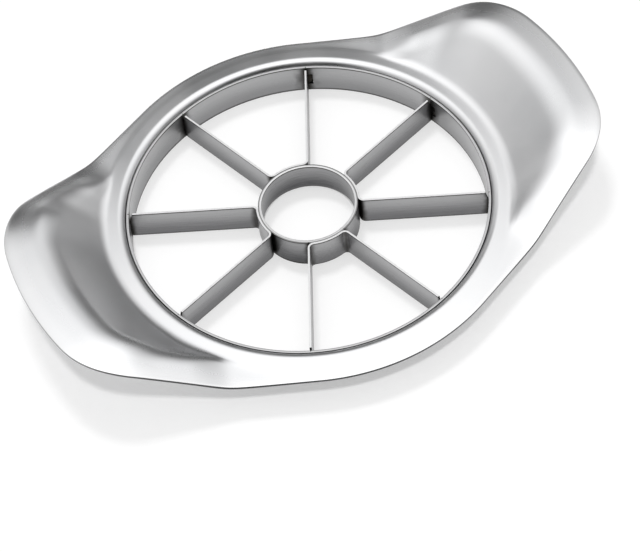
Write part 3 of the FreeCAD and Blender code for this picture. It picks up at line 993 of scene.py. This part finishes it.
# %% Welds on the tabs and under the collar
WELD_OUT_MM = 0.1
COLLAR_WELD_DROP_MM = 0.12
weld_radius = (band_outer_mm + WELD_OUT_MM) * MM
tab_weld_sizes = {
    "Welds": BLADE_COUNT,
    "Lead angle": BLADE_LEAD,
    "Radius": weld_radius,
    "Sideways": -0.45 * MM,
    "Level": band_sizes["Slot middle"],
    "Depth": 0.7 * MM,
    "Width": 1.9 * MM,
    "Height": 2.6 * MM,
    "Seed": 3,
}
collar_weld_sizes = {
    "Welds": BLADE_COUNT,
    "Lead angle": BLADE_LEAD + math.pi / BLADE_COUNT,
    "Radius": weld_radius,
    "Sideways": 0.0,
    "Level": (collar_low_mm - COLLAR_WELD_DROP_MM) * MM,
    "Depth": 0.5 * MM,
    "Width": 3.0 * MM,
    "Height": 0.5 * MM,
    "Seed": 5,
}
for name, sizes, node in (("tab_weld_beads", tab_weld_sizes, "tab_welds"),
                          ("collar_weld_beads", collar_weld_sizes, "collar_welds")):
    mesh = bake_geometry(make_weld_tree(name, sizes), sizes, weld_steel)
    place_piece(mesh, name, weld_steel, "weld_steel", node)
    print(f"{name}: {len(mesh.polygons)} faces")

# %% [markdown]
# ## The floor
#
# The floor is pale paper that takes the soft shadow. Lamps strong enough to turn it white would
# burn out the steel. Instead a share of plain white is mixed in for the rays that look at the
# floor, from the camera or by way of the metal, and the rest of the floor is lit as it is, so the
# shadow stays. It is large, so that the object stands far from its end in low views too.

# %% Floor
FLOOR_SIZE = 3.0
FLOOR_WHITE = 0.38
PAPER_PER_MM = 0.8
PAPER_MM = 0.02
PAPER_TONES = ((0.985, 0.985, 0.985, 1), (1.0, 1.0, 1.0, 1))
WHITE = {"Color": (1, 1, 1, 1), "Strength": 1.0}


def make_paper():
    material, tree = start_material("pale_floor")
    paper = noise(tree, place_in_mm(tree)[0], PAPER_PER_MM, detail=4.0)
    bump = {"Height": paper, "Strength": 0.1, "Distance": PAPER_MM * MM}
    normal = tree.add("ShaderNodeBump", bump).outputs[0]
    shader = tree.add("ShaderNodeBsdfDiffuse", {
        "Color": tone(tree, paper, *PAPER_TONES), "Normal": normal})
    rays = tree.add("ShaderNodeLightPath").outputs
    seen = tree.math("MAXIMUM", rays["Is Camera Ray"], rays["Is Glossy Ray"])
    seen = tree.math("MAXIMUM", seen, rays["Is Transmission Ray"])
    white_share = tree.math("MULTIPLY", seen, FLOOR_WHITE)
    white = tree.add("ShaderNodeEmission", WHITE)
    both = tree.add("ShaderNodeMixShader", {
        0: white_share, 1: shader.outputs[0], 2: white.outputs[0]})
    tree.add("ShaderNodeOutputMaterial", {0: both.outputs[0]})
    return material


def make_floor():
    mesh = bpy.data.meshes.new("floor")
    half = FLOOR_SIZE / 2
    corners = [(-half, -half, 0), (half, -half, 0), (half, half, 0), (-half, half, 0)]
    mesh.from_pydata(corners, [], [(0, 1, 2, 3)])
    mesh.materials.append(make_paper())
    floor = bpy.data.objects.new("floor", mesh)
    bpy.context.scene.collection.objects.link(floor)
    return floor


floor = make_floor()
print(f"floor: {FLOOR_SIZE:.0f} m square")

# %% [markdown]
# ## Light
#
# Two soft boxes hang high up, one behind and one in front. They light the floor and cast the two
# soft shadows. A lamp near by would leave the far floor grey, so both are far away and small to the
# eye. Polished steel would show them as hard spots, so the glossy rays don't see them.

# %% Soft boxes
LAMP_DISTANCE = 6.0


def compass(azimuth_deg, elevation_deg):
    """Unit vector towards a point of the sky; azimuth 0 is X and 90 is Y."""
    azimuth = math.radians(azimuth_deg)
    elevation = math.radians(elevation_deg)
    flat = math.cos(elevation)
    return (math.cos(azimuth) * flat, math.sin(azimuth) * flat, math.sin(elevation))


def add_softbox(name, towards, size, radiance):
    """A square lamp aimed at the object, which lights matt surfaces and isn't seen by steel."""
    lamp = bpy.data.lights.new(name, "AREA")
    lamp.shape = "SQUARE"
    lamp.size = size
    lamp.energy = radiance * math.pi * size * size
    box = bpy.data.objects.new(name, lamp)
    box.location = Vector(towards) * LAMP_DISTANCE
    box.rotation_euler = (-box.location).to_track_quat("-Z", "Y").to_euler()
    box.visible_glossy = False
    bpy.context.scene.collection.objects.link(box)
    print(f"{name}: {size} m square, {lamp.energy:.0f} W")


add_softbox("back_softbox", compass(80, 66), size=1.0, radiance=29.0)
add_softbox("front_softbox", compass(247, 69), size=0.5, radiance=190.0)

# %% [markdown]
# ## The room
#
# Bare metal has no colour of its own to show: it shows the room. So the room is the real work here.
# A bright ceiling falls off evenly to grey walls, so that a gentle fold shows a gentle gradient. A
# room that is light all round would leave the steel flat and white. Five dark cloths hang in it: a
# wide one behind the camera, one opposite it, and three low down on the right. They give the
# pockets, the valley and the far flange something dark to show.
#
# The world's shader holds all that as a formula of the direction, which is smooth at any size and
# reads no image. The camera sees it as plain white. The floor is lit by soft boxes as well, so the
# room lights matt things at only half its strength, or they would come out too light.


# %% A dark cloth
def behind_cloth(tree, towards, centre, edge, depth):
    """Share of the light left where a dark cloth hangs; its soft edge runs between two cosines."""
    nearness = tree.add("ShaderNodeVectorMath", {0: towards, 1: centre}, operation="DOT_PRODUCT")
    return tree.spread(nearness.outputs["Value"], *edge, 1.0, 1.0 - depth)


# %% Room
WALL_RADIANCE = 0.45
CEILING_RADIANCE = 1.6
CEILING_FALL = 2.2
MATT_SHARE = 0.5
CLOTHS = {
    "behind the camera": {"centre": compass(250, 20), "edge": (0.62, 0.88), "depth": 0.96},
    "opposite the camera": {"centre": compass(76, 29), "edge": (0.945, 0.972), "depth": 0.78},
    "low in the north-east": {"centre": compass(50, 2), "edge": (0.766, 0.978), "depth": 0.74},
    "low in the east": {"centre": compass(15, -5), "edge": (0.866, 0.982), "depth": 0.45},
    "low in the south-east": {"centre": compass(312, 12), "edge": (0.875, 0.956), "depth": 0.75},
}


def make_room():
    world = bpy.data.worlds.new("room")
    world.use_nodes = True
    world.node_tree.nodes.clear()
    tree = Tree(world.node_tree)
    towards = tree.add("ShaderNodeTexCoord").outputs["Generated"]
    height = tree.math("MAXIMUM", tree.add("ShaderNodeSeparateXYZ", {0: towards}).outputs[2], 0.0)
    rise = tree.math("POWER", height, CEILING_FALL)
    bare = tree.math("MULTIPLY_ADD", rise, CEILING_RADIANCE - WALL_RADIANCE, WALL_RADIANCE)
    left = 1.0
    for cloth in CLOTHS.values():
        left = tree.math("MINIMUM", left, behind_cloth(tree, towards, **cloth))
    rays = tree.add("ShaderNodeLightPath").outputs
    for_matt = tree.math("MULTIPLY_ADD", rays["Is Diffuse Ray"], MATT_SHARE - 1.0, 1.0)
    strength = tree.math("MULTIPLY", tree.math("MULTIPLY", bare, left), for_matt)
    room = tree.add("ShaderNodeBackground", {"Color": (1, 1, 1, 1), "Strength": strength})
    white = tree.add("ShaderNodeBackground", WHITE)
    both = tree.add("ShaderNodeMixShader", {
        0: rays["Is Camera Ray"], 1: room.outputs[0], 2: white.outputs[0]})
    tree.add("ShaderNodeOutputWorld", {0: both.outputs[0]})
    return world


bpy.context.scene.world = make_room()
print(f"room: ceiling {CEILING_RADIANCE}, walls {WALL_RADIANCE}, {len(CLOTHS)} dark cloths")

# %% [markdown]
# ## The camera
#
# A long lens from far away keeps the round opening a calm ellipse, as in a catalogue. The camera
# is aimed at a point and then rolled a little about its own axis, so that the wings run from the
# lower left to the upper right. No lens shift or depth of field is needed.

# %% Camera
CAMERA_PLACE_MM = Vector((-146.4, -363.3, 494.9))
CAMERA_AIM_MM = Vector((-7.9, -21.3, 8.4))
CAMERA_ROLL = math.radians(-7.34)
LENS_MM = 143.26
SENSOR_MM = 36.0
CLIP_START = 0.01
camera_data = bpy.data.cameras.new("camera")
camera_data.lens = LENS_MM
camera_data.sensor_width = SENSOR_MM
camera_data.clip_start = CLIP_START
camera = bpy.data.objects.new("camera", camera_data)
level = (CAMERA_AIM_MM - CAMERA_PLACE_MM).to_track_quat("-Z", "Y").to_matrix()
turned = level @ Matrix.Rotation(CAMERA_ROLL, 3, "Z")
camera.matrix_world = Matrix.Translation(CAMERA_PLACE_MM * MM) @ turned.to_4x4()
bpy.context.scene.collection.objects.link(camera)
bpy.context.scene.camera = camera
bpy.context.scene.view_settings.view_transform = "Standard"
print(f"camera: {(CAMERA_AIM_MM - CAMERA_PLACE_MM).length:.0f} mm away, {LENS_MM:.0f} mm lens")
